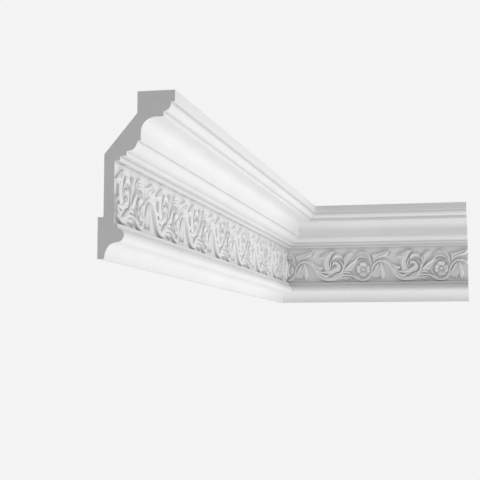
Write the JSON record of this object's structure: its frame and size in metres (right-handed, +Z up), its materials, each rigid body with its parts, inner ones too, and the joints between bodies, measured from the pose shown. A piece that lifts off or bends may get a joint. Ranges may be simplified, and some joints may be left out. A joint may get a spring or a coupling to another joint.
{
  "type": "cornice moulding",
  "caption": "Stepped cornice moulding with a deep cove and a scrolling leaf-and-rosette frieze, in two mitred lengths that fit an inside corner of a room.",
  "frame": {"origin": "middle of the wall foot of the long length, on the wall face, halfway up the foot and halfway along it", "axes": "+X out from the left wall into the room, +Y along the long length towards the corner, +Z up to the ceiling; the short length runs along +X on the back wall"},
  "size_m": [0.3455, 1.003, 0.17],
  "materials": {
    "primed_foam": "smooth factory-primed white skin on hard polyurethane foam, slightly greyer where it is sawn"
  },
  "bodies": {
    "root": {"left_run": "primed_foam", "back_run": "primed_foam"}
  },
  "joints": []
}
